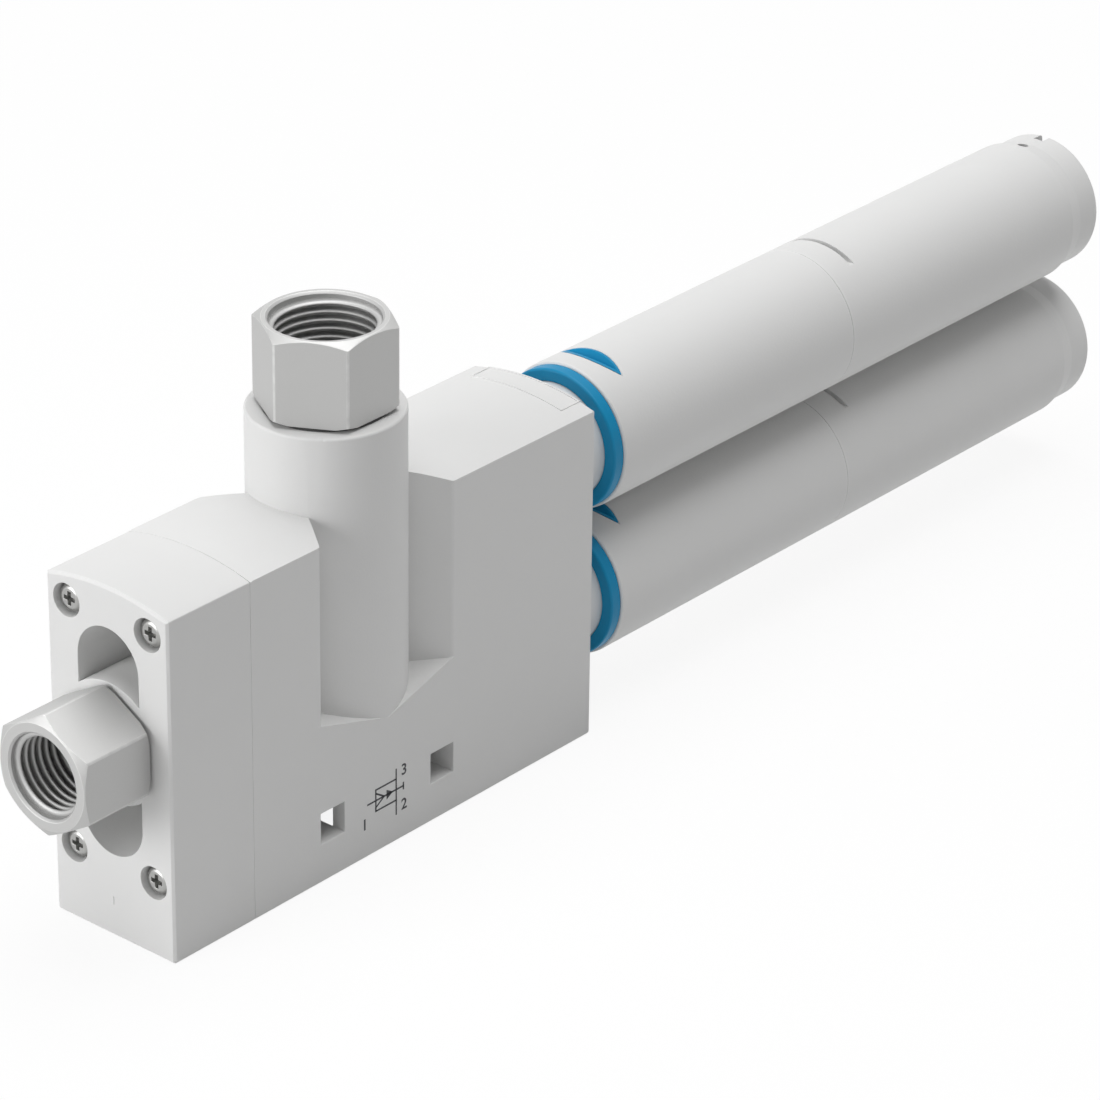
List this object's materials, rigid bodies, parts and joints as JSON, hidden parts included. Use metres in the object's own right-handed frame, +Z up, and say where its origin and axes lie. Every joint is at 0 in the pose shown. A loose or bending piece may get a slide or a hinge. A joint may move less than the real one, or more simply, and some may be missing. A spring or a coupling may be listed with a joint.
{
  "type": "vacuum ejector",
  "caption": "Inline vacuum ejector: crowned block with a round vacuum tower, hexagonal ports and stacked tubular exhaust silencers.",
  "frame": {"origin": "the middle of the whole length and width, on the base plane", "axes": "+X along the block towards the exhaust ends, +Z up out of the vacuum port, +Y to the far side face"},
  "size_m": [0.238, 0.024, 0.0835],
  "materials": {
    "housing_grey": "fine moulded texture",
    "cover_grey": "fine moulded texture",
    "silencer_grey": "fine moulded texture",
    "ring_blue": "satin moulded",
    "fitting_aluminium": "turned and anodised, satin",
    "screw_steel": "zinc plated",
    "nozzle_brass": "turned",
    "receiver_polymer": "moulded",
    "seal_rubber": "matt",
    "foam_white": "open-cell absorber"
  },
  "bodies": {
    "root": {"main_housing": "housing_grey", "front_cover": "cover_grey", "cover_gasket": "seal_rubber", "cover_screws": "screw_steel", "pressure_port_fitting": "fitting_aluminium", "vacuum_port_fitting": "fitting_aluminium", "pressure_port_seal": "seal_rubber", "vacuum_port_seal": "seal_rubber", "upper_jet_nozzle": "nozzle_brass", "upper_jet_seal": "seal_rubber", "upper_receiver_nozzle": "receiver_polymer", "upper_receiver_seal": "seal_rubber", "upper_locking_ring": "ring_blue", "upper_silencer": "silencer_grey", "upper_extension": "silencer_grey", "upper_silencer_foam": "foam_white", "upper_extension_foam": "foam_white", "lower_jet_nozzle": "nozzle_brass", "lower_jet_seal": "seal_rubber", "lower_receiver_nozzle": "receiver_polymer", "lower_receiver_seal": "seal_rubber", "lower_locking_ring": "ring_blue", "lower_silencer": "silencer_grey", "lower_extension": "silencer_grey", "lower_silencer_foam": "foam_white", "lower_extension_foam": "foam_white"}
  },
  "joints": []
}
